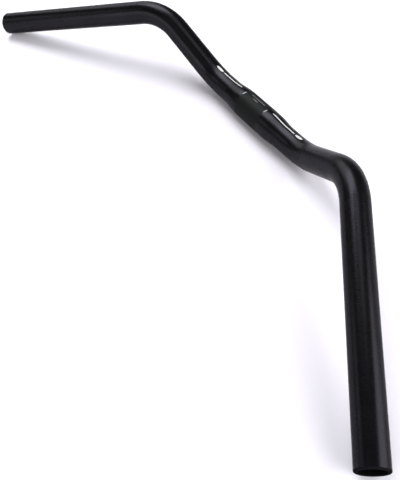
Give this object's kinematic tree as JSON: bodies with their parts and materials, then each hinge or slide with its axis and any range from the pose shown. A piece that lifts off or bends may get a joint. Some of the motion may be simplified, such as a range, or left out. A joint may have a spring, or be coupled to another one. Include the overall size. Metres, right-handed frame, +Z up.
{
  "type": "bicycle handlebar",
  "caption": "Swept-back, raised bicycle handlebar of bent aluminium tube, swaged thicker in the middle for the stem, satin black, with open ends.",
  "frame": {"origin": "middle of the clamp zone, on the tube's axis", "axes": "+X along the clamp zone to the rider's right, the grips go back to -Y, +Z up from the floor that the bar lies on"},
  "size_m": [0.6394, 0.1493, 0.0618],
  "materials": {
    "black_anodised": "satin"
  },
  "bodies": {
    "root": {"handlebar": "black_anodised"}
  },
  "joints": []
}
